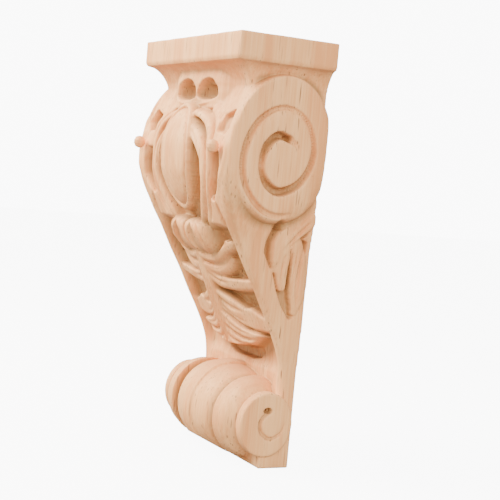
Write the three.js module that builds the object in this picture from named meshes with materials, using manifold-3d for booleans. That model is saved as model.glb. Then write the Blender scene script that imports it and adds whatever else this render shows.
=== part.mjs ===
// Carved wooden corbel bracket, one block of pale close-grained hardwood.
// Millimetres, +Z up, front towards -Y, mirror-symmetric about X = 0.
// Heights are counted from the flat-cut bottom. The finished block is then lowered by half its
// height, so the origin is the middle of the flat back, where the corbel meets the wall.
import * as THREE from 'three';
import { mergeVertices } from 'three/addons/utils/BufferGeometryUtils.js';
import Module from 'manifold-3d';

const wasm = await Module();
wasm.setup();

// Driving dimensions of the block
const HEIGHT = 356;
const SLAB = { half: 99, depth: 89.5, height: 22.5, soften: 1.6, corner: 2 };
const COVE = { height: 17, inset: 1.5, steps: 6 };      // ends a little inside the slab's edge
const BASE = { half: 78.5, depth: 28.6, height: 40 };
const UNDERCUT = { run: 60, rise: 29.5 };   // slope sawn off under the foot scroll
const BODY = { bottom: 34, firstLevel: 62, levelStep: 12 };
const BAND = { flat: 6, edge: 1.5, step: 2.5, root: 70 };
const FIELD = { sunk: 8, least: 2, from: 60, over: 30 };   // sunk between the bands, level at the foot
const CORNER_STEPS = 3;

// Big side volute: a raised oval disc with a spiral line cut into its face
const VOLUTE = { y: -40, z: 266, halfDepth: 48, halfHeight: 61, face: 95, root: 60, rim: 6, sides: 36 };
const SPIRAL_LINE = { width: 6, depth: 5, steps: 32 };

// Barrel scroll at the foot: a stepped roll on an axis across the front
const BARREL = {
  y: -23.6, z: 37.8, end: 81, sides: 28,
  half: [                                  // distance from the middle, radius
    [0, 40.3], [6.6, 41.5], [8.1, 40],     // band round the middle
    [9.1, 37.5], [22.1, 34.2], [42.9, 29], // first roll, falling to a groove
    [43.9, 34.6], [55.9, 27], [70, 23],    // second roll
    [71, 26], [79.5, 26], [81, 24.5],      // end disc
  ],
};

// Front outline of the side bands: height, depth from the wall
const FRONT = [
  [0, 14], [66, 14], [84, 15.5], [98, 19.5], [112, 26], [130, 35.5], [150, 46.5], [171, 59.5],
  [190, 70.5], [210, 80.5], [228, 87.5], [245, 90.5], [262, 90], [280, 86], [295, 79], [308, 73.5],
  [317, 71], [HEIGHT, 71],
];
// Half width of the body at its sides
const SIDE = [
  [0, 78.5], [70, 78.5], [130, 81], [185, 82], [206, 83], [240, 85], [300, 85.5], [HEIGHT, 86],
];
// Rounding of the front corner
const CORNER = [[0, 9], [80, 9], [120, 6], [150, 7], [200, 13], [235, 8], [262, 5], [HEIGHT, 5]];

// Edges shorter than this are closed up where solids meet
const SMALLEST = 0.02;

// Smooth curve through hand-set stations: cubic between them, never overshooting
function alongStations(stations) {
  const slope = stations.map((station, i) => {
    if (i === 0 || i === stations.length - 1) return 0;
    const before = (station[1] - stations[i - 1][1]) / (station[0] - stations[i - 1][0]);
    const after = (stations[i + 1][1] - station[1]) / (stations[i + 1][0] - station[0]);
    return before * after <= 0 ? 0 : 2 * before * after / (before + after);
  });
  return (t) => {
    if (t <= stations[0][0]) return stations[0][1];
    let i = 0;
    while (i < stations.length - 2 && t > stations[i + 1][0]) i += 1;
    const [t0, v0] = stations[i];
    const [t1, v1] = stations[i + 1];
    const span = t1 - t0;
    const s = Math.min((t - t0) / span, 1);
    const a = 2 * s ** 3 - 3 * s ** 2 + 1;
    const b = s ** 3 - 2 * s ** 2 + s;
    const c = -2 * s ** 3 + 3 * s ** 2;
    const d = s ** 3 - s ** 2;
    return a * v0 + b * span * slope[i] + c * v1 + d * span * slope[i + 1];
  };
}
const frontDepth = alongStations(FRONT);
const sideHalf = alongStations(SIDE);
const cornerRadius = alongStations(CORNER);

// A closed body as a solid that can be joined and cut
function solidOf(geometry) {
  const bare = geometry.clone();
  bare.deleteAttribute('normal');
  bare.deleteAttribute('uv');
  const merged = mergeVertices(bare, 1e-4);
  const index = merged.index.array;
  const triangles = [];
  for (let i = 0; i < index.length; i += 3) {
    const [a, b, c] = [index[i], index[i + 1], index[i + 2]];
    if (a !== b && b !== c && c !== a) triangles.push(a, b, c);
  }
  return new wasm.Manifold(new wasm.Mesh({
    numProp: 3,
    vertProperties: new Float32Array(merged.attributes.position.array),
    triVerts: new Uint32Array(triangles),
    tolerance: SMALLEST,
  }));
}

const point = (x, y, z) => new THREE.Vector3(x, y, z);
const turns = (count) => Array.from({ length: count }, (_, k) => k / count * 2 * Math.PI);

// Triangles of the skin between neighbouring rings that have the same number of points
function skin(rings) {
  const count = rings[0].length;
  const index = [];
  for (let r = 0; r < rings.length - 1; r += 1) {
    for (let k = 0; k < count; k += 1) {
      const a = r * count + k;
      const b = r * count + (k + 1) % count;
      index.push(a, b, b + count, a, b + count, a + count);
    }
  }
  return index;
}

// Rings skinned and closed, with the two end rings filled flat.
// flat is the pair of axes in which the end rings are filled.
function stack(rings, flat) {
  const ends = [0, rings.length - 1].map((end) => {
    const outline = rings[end].map((p) => new THREE.Vector2(p[flat[0]], p[flat[1]]));
    return THREE.ShapeUtils.triangulateShape(outline, []).flat().map((k) => k + end * rings[0].length);
  });
  return outward(rings.flat(), skin(rings), ends);
}

// Rings skinned and closed, with each end gathered to the mean point of its ring
function gathered(rings) {
  const count = rings[0].length;
  const hubs = [rings[0], rings.at(-1)].map((ring) => (
    ring.reduce((sum, p) => sum.add(p), point(0, 0, 0)).divideScalar(count)));
  const ends = [0, rings.length - 1].map((end, i) => {
    const [hub, first] = [rings.length * count + i, end * count];
    return rings[end].flatMap((p, k) => [hub, first + k, first + (k + 1) % count]);
  });
  return outward([...rings.flat(), ...hubs], skin(rings), ends);
}

// The ends turned to agree with the skin, and the whole turned to face outwards
function outward(points, index, ends) {
  const edges = new Set();
  for (let i = 0; i < index.length; i += 3) {
    for (const [a, b] of [[0, 1], [1, 2], [2, 0]]) edges.add(`${index[i + a]}_${index[i + b]}`);
  }
  const turned = (faces) => faces.map((k, i) => (i % 3 === 0 ? k : faces[i % 3 === 1 ? i + 1 : i - 1]));
  let all = index;
  for (const faces of ends) {
    let clashes = 0;
    for (let i = 0; i < faces.length; i += 3) {
      for (const [a, b] of [[0, 1], [1, 2], [2, 0]]) {
        if (edges.has(`${faces[i + a]}_${faces[i + b]}`)) clashes += 1;
      }
    }
    all = all.concat(clashes > 0 ? turned(faces) : faces);
  }
  let volume = 0;
  for (let i = 0; i < all.length; i += 3) {
    volume += points[all[i]].dot(points[all[i + 1]].clone().cross(points[all[i + 2]]));
  }
  const geometry = new THREE.BufferGeometry().setFromPoints(points);
  geometry.setIndex(volume < 0 ? turned(all) : all);
  return solidOf(geometry);
}

// A straight bar across the block with a side-view outline: depth from the wall, height
function prism(outline, x0, x1) {
  return stack([x0, x1].map((x) => outline.map(([depth, z]) => point(x, -depth, z))), ['y', 'z']);
}

// The same solid on the other side of the middle plane
function mirrored(solid) {
  const { vertProperties, triVerts } = solid.getMesh();
  return new wasm.Manifold(new wasm.Mesh({
    numProp: 3,
    vertProperties: vertProperties.map((value, i) => (i % 3 === 0 ? -value : value)),
    triVerts: triVerts.map((value, i) => (i % 3 === 0 ? value : triVerts[i % 3 === 1 ? i + 1 : i - 1])),
    tolerance: SMALLEST,
  }));
}
const bothSides = (solids) => solids.flatMap((solid) => [solid, mirrored(solid)]);

// A point on the bands' front surface, raised or sunk from it
const onFront = (x, z, raised) => point(x, -frontDepth(z) - raised, z);

// A rounded bar along points, its width and height given at evenly spaced stations.
// facing gives the direction in which the height is measured.
function bar(points, widths, heights, facing, steps = 8, sides = 6) {
  const curve = new THREE.CatmullRomCurve3(points, false, 'centripetal');
  const width = alongStations(widths.map((w, i) => [i / (widths.length - 1), w]));
  const height = alongStations(heights.map((h, i) => [i / (heights.length - 1), h]));
  const rings = [];
  for (let i = 0; i <= steps; i += 1) {
    const t = i / steps;
    const centre = curve.getPoint(t);
    const along = curve.getTangent(t);
    const across = facing.clone().cross(along).normalize();
    const up = along.clone().cross(across).normalize();
    const ring = [];
    for (let k = 0; k < sides; k += 1) {
      const turn = (k + 0.5) / sides * 2 * Math.PI;
      ring.push(centre.clone()
        .addScaledVector(across, Math.cos(turn) * width(t) / 2)
        .addScaledVector(up, Math.sin(turn) * height(t) / 2));
    }
    rings.push(ring);
  }
  return gathered(rings);
}

const FRONTWARDS = point(0, -1, 0);
const SIDEWAYS = point(1, 0, 0);

// A bar on the front, its path given as x, height and how far it stands proud
const frontBar = (path, widths, heights, steps) => bar(
  path.map(([x, z, raised]) => onFront(x, z, raised)), widths, heights, FRONTWARDS, steps);

// A rounded lump: an oval ball of given half sizes
function lump(centre, half, segments = 12, bands = 6) {
  const ball = new THREE.SphereGeometry(1, segments, bands);
  ball.scale(half.x, half.y, half.z);
  ball.translate(centre.x, centre.y, centre.z);
  return solidOf(ball);
}

function box(x0, x1, y0, y1, z0, z1) {
  const block = new THREE.BoxGeometry(x1 - x0, y1 - y0, z1 - z0);
  block.translate((x0 + x1) / 2, (y0 + y1) / 2, (z0 + z1) / 2);
  return solidOf(block);
}

// The round of the front corner: from the side face to the front, at a height
function frontCorner(face, z, inset = 0) {
  const depth = frontDepth(z);
  const radius = Math.min(cornerRadius(z), depth - FIELD.least);
  return Array.from({ length: CORNER_STEPS + 1 }, (_, k) => {
    const turn = k / CORNER_STEPS * Math.PI / 2;
    return point(face - radius * (1 - Math.cos(turn)), inset - depth + radius * (1 - Math.sin(turn)), z);
  });
}

// Body: side bands standing proud of the sunk field between them, S-shaped from the side
function bodyRing(z) {
  const half = sideHalf(z);
  const corner = frontCorner(half, z);
  const front = corner.at(-1);
  const inner = front.x - BAND.flat;
  const sunk = THREE.MathUtils.clamp(FIELD.sunk * (z - FIELD.from) / FIELD.over, FIELD.least, FIELD.sunk);
  const right = [
    point(half, 0, z), ...corner,
    point(inner, front.y + BAND.edge, z), point(inner - BAND.step, front.y + sunk, z),
  ];
  return [...right, ...right.map((p) => point(-p.x, p.y, z)).reverse()];
}
function body() {
  const levels = [BODY.bottom];
  for (let z = BODY.firstLevel; z < HEIGHT - SLAB.height; z += BODY.levelStep) levels.push(z);
  levels.push(HEIGHT - SLAB.height / 2);
  return stack(levels.map(bodyRing), ['x', 'y']);
}

// Slab on top, with the hollow cove moulding below it
function slab() {
  const { corner } = SLAB;
  const ring = (half, depth, z) => [
    point(half, 0, z), point(half, corner - depth, z), point(half - corner, -depth, z),
    point(corner - half, -depth, z), point(-half, corner - depth, z), point(-half, 0, z),
  ];
  const under = HEIGHT - SLAB.height;
  const neck = { half: sideHalf(HEIGHT), depth: frontDepth(HEIGHT) };
  const rings = [];
  for (let k = 0; k <= COVE.steps; k += 1) {
    const turn = k / COVE.steps * Math.PI / 2;
    const out = 1 - Math.cos(turn);
    rings.push(ring(
      THREE.MathUtils.lerp(neck.half, SLAB.half - COVE.inset, out),
      THREE.MathUtils.lerp(neck.depth, SLAB.depth - COVE.inset, out),
      under - COVE.height * (1 - Math.sin(turn)),
    ));
  }
  rings.push(ring(SLAB.half, SLAB.depth, under + SLAB.soften));
  rings.push(ring(SLAB.half, SLAB.depth, HEIGHT - SLAB.soften));
  rings.push(ring(SLAB.half - SLAB.soften, SLAB.depth - SLAB.soften, HEIGHT));
  return stack(rings, ['x', 'y']);
}

// Volute disc on the right side
function voluteDisc() {
  const { root, face, rim } = VOLUTE;
  const oval = (x, inset) => turns(VOLUTE.sides).map((turn) => point(
    x,
    VOLUTE.y - Math.cos(turn) * (VOLUTE.halfDepth - inset),
    VOLUTE.z + Math.sin(turn) * (VOLUTE.halfHeight - inset),
  ));
  const rings = [oval(root, 0), oval(face - rim, 0), oval(face - rim / 3, rim / 3), oval(face, rim)];
  return stack(rings, ['y', 'z']);
}

// Centre line of the spiral cut on the volute's face: depth from the wall and height
const SPIRAL = [
  [28, 214.5], [41, 212.5], [54, 216], [66, 226], [74, 240], [76, 257], [72, 275], [62, 290],
  [47, 299], [32, 298], [19, 288], [13, 271], [15, 254], [25, 239], [41, 232], [53, 238],
  [59, 251], [56, 267], [46, 277], [36, 275],
];
function spiralCut() {
  const path = SPIRAL.map(([y, z]) => point(VOLUTE.face, -y, z));
  const { width, depth } = SPIRAL_LINE;
  const widths = [0.7, 0.9, 1, 1.1, 1, 1, 1, 1.4, 1.5, 0.8];
  const depths = [0.4, 1, 1, 1, 1, 1, 1, 1.3, 1.3, 0.4];
  const squared = Math.SQRT2;    // a four-sided bar measures this much more over its corners
  return bar(path, widths.map((k) => k * width * squared), depths.map((k) => 2 * k * depth * squared),
    SIDEWAYS, SPIRAL_LINE.steps, 4);
}

// The band that leaves the volute at the front and falls back to the body's side below it:
// height, half width of its face, depth from the wall at its back edge
const BAND_TAIL = [
  [186, 82, 45], [197, 83, 36], [208, 85.5, 31], [219, 89, 31], [230, 92.5, 33], [241, 95, 36],
  [262, 95, 40],
];
const BEHIND = 0.2;            // keeps the band's front just behind the body's own
function bandTail() {
  return stack(BAND_TAIL.map(([z, face, back]) => [
    point(BAND.root, -back, z), point(face, -back, z), ...frontCorner(face, z, BEHIND),
    point(BAND.root, BEHIND - frontDepth(z), z),
  ]), ['x', 'y']);
}

// Barrel scroll: central band, then rolls that fall to a groove before the next ring steps up
function barrel() {
  const left = BARREL.half.slice(1).map(([x, r]) => [-x, r]).reverse();
  const profile = [[-BARREL.end, 0], ...left, ...BARREL.half, [BARREL.end, 0]];
  const turned = new THREE.LatheGeometry(profile.map(([x, r]) => new THREE.Vector2(r, x)), BARREL.sides);
  turned.rotateZ(-Math.PI / 2);
  turned.translate(0, BARREL.y, BARREL.z);
  return solidOf(turned);
}

// Spiral line on the barrel's right end, winding in as it turns, and its drilled eye
const END_LINE = { start: 90, sweep: 300, outer: 13.5, inner: 9.5, stretch: 1.15, shift: 2, points: 16 };
const END_EYE = { shift: 1, rise: 12, half: [7, 3.6, 3] };
function barrelEndCut() {
  const path = [];
  for (let k = 0; k <= END_LINE.points; k += 1) {
    const part = k / END_LINE.points;
    const turn = THREE.MathUtils.degToRad(END_LINE.start + part * END_LINE.sweep);
    const radius = THREE.MathUtils.lerp(END_LINE.outer, END_LINE.inner, part);
    path.push(point(
      BARREL.end + 1,
      BARREL.y - END_LINE.shift + Math.cos(turn) * radius,
      BARREL.z + Math.sin(turn) * radius * END_LINE.stretch,
    ));
  }
  const centre = point(BARREL.end, BARREL.y + END_EYE.shift, BARREL.z + END_EYE.rise);
  const eye = lump(centre, point(...END_EYE.half), 8, 6);
  return bar(path, [5.5, 4.5, 4, 2.5], [9, 9, 8, 4], SIDEWAYS, 18, 4).add(eye);
}

// Oval boss in the middle of the front: a straight-walled oval with a rim groove and a low dome.
// It leans forwards, from behind the bands' front at its foot to proud of it at its top.
const OVAL = { z: 254.5, halfWidth: 28.5, halfHeight: 46, low: 0, high: 10, rooted: 16, sides: 28 };
const OVAL_LEVELS = [              // share of the full size, how far that ring is raised
  [1, -0.6], [0.96, 0.6], [0.9, -0.8], [0.84, 0.8], [0.62, 2.8], [0.32, 4], [0.03, 4.4],
];
function ovalBoss() {
  const oval = (size, depthAt) => turns(OVAL.sides).map((turn) => {
    const z = OVAL.z + Math.sin(turn) * OVAL.halfHeight * size;
    return point(Math.cos(turn) * OVAL.halfWidth * size, -depthAt(z), z);
  });
  const foot = OVAL.z - OVAL.halfHeight;
  const lean = (z) => THREE.MathUtils.lerp(OVAL.low, OVAL.high, (z - foot) / (2 * OVAL.halfHeight));
  const rings = OVAL_LEVELS.map(([size, raised]) => oval(size, (z) => frontDepth(z) + lean(z) + raised));
  return gathered([oval(1, (z) => frontDepth(z) - OVAL.rooted), ...rings]);
}

// Ribs beside the oval, the knob where the C-scroll ends, and the swelling above it
function scrollRibs() {
  return [
    frontBar([[14, 286, 1], [34, 271, -1], [49, 251, -4], [46, 226, -6], [28, 203, -8]],
      [14, 15, 12, 8], [15, 15, 13, 10]),
    frontBar([[24, 293, 0], [46, 284, -2], [57, 260, -5], [55, 230, -6], [42, 206, -8]],
      [10, 11, 9, 8], [14, 14, 12, 10]),
    frontBar([[72, 222, -4], [79, 240, -3], [79, 256, 0], [78, 264, 3]], [5, 8, 10], [9, 12, 15]),
    lump(onFront(79, 264, 5), point(6.5, 7.5, 6.5)),
    lump(onFront(66, 293, -4), point(23, 12, 15)),
  ];
}

// Crown between the oval and the cove: a swelling with a scooped hollow on either side of a ridge
const crown = () => lump(onFront(0, 309, -4), point(46, 14, 13), 18, 8);
const crownScoop = () => lump(onFront(21.5, 311, 9), point(19, 15, 9.5), 14, 6);

// Husk under the oval: two lobes, each hollowed in the middle, and a curl beside them
function husk() {
  const lobe = lump(onFront(16, 187, -2), point(22, 11, 15), 14, 8);
  const dish = lump(onFront(15, 188, 11), point(7, 5, 10), 8, 6);
  const curl = frontBar([[6, 167, 0], [24, 165, -3], [44, 172, -5], [60, 182, -8]],
    [14, 17, 15, 9], [14, 14, 12, 9], 7);
  return [lobe.subtract(dish), curl];
}

// Leaf down the front: the shaft, which swells out towards the tip, and three side lobes
function leaf() {
  const lobes = [
    [[[4, 178, -2], [5, 158, 1], [6, 132, 3], [6, 108, 3.5], [3, 91, 1]],
      [12, 17, 19, 12], [14, 17, 17, 13]],
    [[[5, 163, -1], [18, 149, -2], [40, 149, -5], [62, 152, -7], [76, 154, -9]],
      [12, 13, 13, 10], [14, 14, 12, 9]],
    [[[6, 142, 1], [20, 130, -1], [38, 121, -4], [58, 118, -7], [74, 116, -9]],
      [14, 21, 23, 13], [15, 15, 12, 9]],
    [[[6, 124, 2], [13, 108, 2], [28, 101, 0], [44, 104, -3]],
      [14, 20, 20, 12], [15, 15, 12, 9]],
  ];
  return lobes.map(([path, widths, heights]) => frontBar(path, widths, heights, 6));
}

// Side panel: a three-cornered sunk field with a hanging leaf in it. The leaf's stem comes down
// from the wall as a broad slope that fills the field up to the volute.
const PANEL_FLOOR = 75.5;
const PANEL = [[9, 213], [30, 208], [37, 189], [33, 172], [27, 156], [11, 130], [8, 140]];
const STEM = [[3, 216], [26, 211], [28, 202], [31, 194], [34, 180], [32, 170], [24, 184], [3, 202]];
const STEM_LEVEL = 84;
function sideLeaf() {
  const finger = (path, widths) => bar(
    path.map(([y, z]) => point(PANEL_FLOOR, -y, z)), widths, widths.map((w) => w * 1.7), SIDEWAYS, 5);
  return [
    prism(STEM, PANEL_FLOOR - 1, STEM_LEVEL),
    finger([[25, 190], [26, 180], [25, 166], [22, 154]], [7, 10, 10, 4]),
    finger([[7, 200], [11, 180], [10, 156], [9, 136]], [7, 11, 12, 5]),
  ];
}

// Everything joined, then cut back to the wall, the floor line and the sloping undercut of the foot
const BEYOND = 200;            // how far the trimming blocks reach past the work
function corbel() {
  const panel = prism(PANEL, PANEL_FLOOR, VOLUTE.face);
  const plain = wasm.Manifold.union([
    body(), slab(), barrel(), box(-BASE.half, BASE.half, -BASE.depth, 0, 0, BASE.height),
  ]).subtract(wasm.Manifold.union(bothSides([panel])));
  const dressed = wasm.Manifold.union([
    plain, ovalBoss(), crown(),
    ...bothSides([voluteDisc(), bandTail(), ...scrollRibs(), ...husk(), ...leaf(), ...sideLeaf()]),
  ]);
  const hollows = wasm.Manifold.union(bothSides([crownScoop(), spiralCut(), barrelEndCut()]));
  const foot = BASE.depth + UNDERCUT.run;
  const trimmings = wasm.Manifold.union([
    box(-BEYOND, BEYOND, 0, BEYOND, -BEYOND, HEIGHT + BEYOND),
    box(-BEYOND, BEYOND, -BEYOND, BEYOND, -BEYOND, 0),
    prism([[BASE.depth, 0], [foot, UNDERCUT.rise], [foot, -BEYOND], [BASE.depth, -BEYOND]],
      -BEYOND, BEYOND),
  ]);
  return dressed.subtract(hollows).subtract(trimmings);
}

function geometryOf(solid) {
  const mesh = solid.getMesh();
  const geometry = new THREE.BufferGeometry();
  geometry.setAttribute('position', new THREE.Float32BufferAttribute(mesh.vertProperties, 3));
  geometry.setIndex([...mesh.triVerts]);
  geometry.computeVertexNormals();
  return geometry;
}

const wood = new THREE.MeshStandardMaterial({ color: 0xddb794, roughness: 0.62, metalness: 0 });
const carved = new THREE.Mesh(geometryOf(corbel()), wood);
carved.name = 'corbel';
carved.position.z = -HEIGHT / 2;

const bracket = new THREE.Group();
bracket.add(carved);
export default bracket;
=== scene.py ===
"""Carved wooden corbel bracket: one block of pale hardwood with S-shaped side bands that end in
big spiral volutes, an oval boss, a husk with an acanthus leaf, and a stepped barrel scroll at the
foot. The carving is worked out as a solid on a fine grid and turned into one closed mesh."""
import math

import bmesh
import bpy
import numpy as np
from mathutils import Matrix, Vector


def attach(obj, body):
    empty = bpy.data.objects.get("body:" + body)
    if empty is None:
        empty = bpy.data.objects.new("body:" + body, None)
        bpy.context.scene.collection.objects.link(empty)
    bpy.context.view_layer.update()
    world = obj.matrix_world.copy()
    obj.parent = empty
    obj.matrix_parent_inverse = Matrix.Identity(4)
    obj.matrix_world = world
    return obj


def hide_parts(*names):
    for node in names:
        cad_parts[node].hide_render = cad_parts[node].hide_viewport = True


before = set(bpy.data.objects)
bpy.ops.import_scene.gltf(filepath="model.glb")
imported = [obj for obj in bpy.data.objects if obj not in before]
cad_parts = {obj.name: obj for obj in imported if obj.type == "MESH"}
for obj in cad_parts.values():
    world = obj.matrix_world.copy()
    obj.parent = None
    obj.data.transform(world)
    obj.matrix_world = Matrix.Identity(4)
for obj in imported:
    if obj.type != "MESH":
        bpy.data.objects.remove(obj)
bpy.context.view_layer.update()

bl_info = {
    "name": "Carved Corbel",
    "version": (1, 0, 0),
    "blender": (4, 5, 0),
    "location": "View3D > Sidebar > Corbel",
    "description": "A carved wooden corbel bracket with its studio stage",
    "category": "Object",
}

# Measures of the block, in millimetres: height from the flat bottom, depth from the wall
HEIGHT = 356.0
WALL_TO_BOTTOM = HEIGHT / 2
SLAB_HALF, SLAB_DEPTH, SLAB_HEIGHT = 99.0, 89.5, 22.5
COVE_HEIGHT = 17.0
NECK_HALF, NECK_DEPTH = 86.0, 71.0
BASE_HALF, BASE_DEPTH, BASE_HEIGHT = 78.5, 28.6, 40.0
UNDERCUT_RUN, UNDERCUT_RISE = 60.0, 29.5
BODY_BOTTOM = 34.0
REACH = 102.2                       # furthest that the carving stands from the wall

# Barrel scroll at the foot: its axis, a collar, two shells that taper outwards, and the end's oval
BARREL_DEPTH, BARREL_Z = 23.0, 37.6
COLLAR_RADIUS, COLLAR_HALF = 41.6, 8.1
FIRST_RADIUS, FIRST_END = 39.0, 44.6
SECOND_RADIUS, SECOND_START, SECOND_END = 35.6, 43.6, 72.0
BARREL_END = {"at": (25.2, 37.4), "half": (24.6, 27.4), "across": 25.5, "start": 71.6, "face": 81.0}
EYE = {"at": (24.8, 49.4), "half": (4.2, 2.9), "depth": 8.0}
END_LINE = [(7.8, 40), (9.3, 33.4), (13, 29), (20.8, 25.7), (28.6, 30.1), (31.4, 37.4), (28.7, 44),
            (24.3, 47.5)]

# Front line of the side bands: height, depth from the wall
FRONT = [
    (0, 14), (66, 14), (84, 15.5), (98, 19.5), (112, 26), (130, 35.5), (150, 46.5), (171, 59.5),
    (190, 70.5), (210, 80.5), (228, 87.5), (245, 90.5), (262, 90), (280, 86), (295, 79),
    (308, 73.5), (317, 71), (356, 71),
]
# Half width of the body, rounding of its front corner, and the band below the volute
SIDE = [(0, 78.5), (70, 78.5), (130, 81), (185, 82), (206, 83), (240, 85), (300, 85.5), (356, 86)]
CORNER = [(0, 8), (80, 8), (120, 6), (150, 6.5), (195, 10), (235, 8), (262, 5), (300, 4.5),
          (356, 4.5)]
TAIL_FACE = [(180, 81.8), (190, 82), (200, 83.5), (212, 86.5), (222, 89.5), (234, 93), (246, 95),
             (330, 95)]
TAIL_BACK = [(180, 46), (190, 42), (200, 35), (212, 31), (225, 30), (262, 40), (330, 44)]
BAND_CREST = [(60, 75), (100, 75), (150, 76), (200, 79), (230, 86), (262, 92), (356, 92)]
BAND_INNER = [(60, 61), (90, 64), (115, 68), (150, 69), (185, 67), (205, 63), (230, 62), (356, 62)]
FIELD_LEVEL = [(60, -1), (74, -2), (88, -7), (104, -8.5), (190, -8.5), (215, -7), (240, -5),
               (280, -3), (300, -2), (356, -2)]
DEEP_GROUND = -12.0                 # floor of the deepest grounds, below the bands' front line

# Oval boss and round knob on the front
OVAL = {"at": (0.0, 254.5), "half": (28.5, 46.0), "rim": 0.885}
KNOB = {"x": 79.0, "z": 264.0, "proud": 6.6, "radius": 5.2}

# Big volute: oval in side view; across turns how far out a place lies into millimetres
DISC = {"at": (40.0, 266.0), "half": (48.0, 61.0), "across": 44.0, "start": 88.0, "face": 95.0}
SPIRAL = [
    (28, 214.5), (41, 212.5), (54, 216), (66, 226), (74, 240), (76, 257), (72, 275), (62, 290),
    (47, 299), (32, 298), (19, 288), (13, 271), (15, 254), (25, 239), (41, 232), (53, 238),
    (59, 251), (56, 267), (46, 277), (36, 275),
]
PANEL = [(5.5, 190), (22, 198), (29, 203.5), (34, 205), (36.5, 199), (40, 190), (41, 182),
         (36, 172.5), (31, 165), (26.5, 151), (21, 139), (13, 128), (7, 134)]
PANEL_FLOOR = 74.5


def along(stations):
    """Smooth curve through given stations that never overshoots them."""
    t0 = np.array([s[0] for s in stations], float)
    v0 = np.array([s[1] for s in stations], float)
    step = np.diff(v0) / np.diff(t0)
    slope = np.zeros(len(t0))
    same = step[:-1] * step[1:] > 0
    slope[1:-1][same] = 2 * step[:-1][same] * step[1:][same] / (step[:-1] + step[1:])[same]

    def value(t):
        t = np.asarray(t, float)
        i = np.clip(np.searchsorted(t0, t, side="right") - 1, 0, len(t0) - 2)
        span = t0[i + 1] - t0[i]
        s = np.clip((t - t0[i]) / span, 0, 1)
        return ((2 * s ** 3 - 3 * s ** 2 + 1) * v0[i] + (s ** 3 - 2 * s ** 2 + s) * span * slope[i]
                + (3 * s ** 2 - 2 * s ** 3) * v0[i + 1] + (s ** 3 - s ** 2) * span * slope[i + 1])
    return value


front_depth, side_half, corner_radius = along(FRONT), along(SIDE), along(CORNER)


def smooth_path(points, per_span=10):
    """Dense Catmull-Rom line through the points, with its parameter from 0 to 1."""
    p = np.array(points, float)
    p = np.vstack([2 * p[0] - p[1], p, 2 * p[-1] - p[-2]])
    out = []
    for i in range(1, len(p) - 2):
        for s in np.arange(per_span) / per_span:
            a, b, c, d = p[i - 1], p[i], p[i + 1], p[i + 2]
            out.append(0.5 * (2 * b + (c - a) * s + (2 * a - 5 * b + 4 * c - d) * s * s
                              + (3 * b - a - 3 * c + d) * s ** 3))
    out.append(p[-2])
    return np.array(out), np.linspace(0, 1, len(out))


def nearest(points, gu, gv):
    """Distance from each grid place to a smooth line, where along it, and on which side."""
    path, t = smooth_path(points)
    best = np.full(gu.shape, 1e9)
    where = np.zeros(gu.shape)
    side = np.zeros(gu.shape)
    for (a, b), (ta, tb) in zip(zip(path[:-1], path[1:]), zip(t[:-1], t[1:])):
        du, dv = b - a
        length = du * du + dv * dv + 1e-9
        s = np.clip(((gu - a[0]) * du + (gv - a[1]) * dv) / length, 0, 1)
        eu, ev = gu - a[0] - s * du, gv - a[1] - s * dv
        dist = np.hypot(eu, ev)
        closer = dist < best
        best = np.where(closer, dist, best)
        where = np.where(closer, ta + s * (tb - ta), where)
        side = np.where(closer, np.sign(du * ev - dv * eu), side)
    return best, where, side


def spread(values, t):
    """Values set evenly along a line, read at its parameter."""
    return np.interp(t, np.linspace(0, 1, len(values)), values)


def to_outline(points, gu, gv):
    """Signed distance to a closed outline, negative inside."""
    p = np.array(points, float)
    best = np.full(gu.shape, 1e9)
    inside = np.zeros(gu.shape, bool)
    for a, b in zip(p, np.roll(p, -1, axis=0)):
        du, dv = b - a
        s = np.clip(((gu - a[0]) * du + (gv - a[1]) * dv) / (du * du + dv * dv + 1e-9), 0, 1)
        best = np.minimum(best, np.hypot(gu - a[0] - s * du, gv - a[1] - s * dv))
        crosses = (a[1] > gv) != (b[1] > gv)
        at = a[0] + (gv - a[1]) * du / (dv if abs(dv) > 1e-9 else 1e-9)
        inside ^= crosses & (gu < at)
    return np.where(inside, -best, best)


def out_of(oval, u, v):
    """How far out a place lies in an oval: 0 at its middle, 1 on its line."""
    return np.hypot((u - oval["at"][0]) / oval["half"][0], (v - oval["at"][1]) / oval["half"][1])


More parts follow.
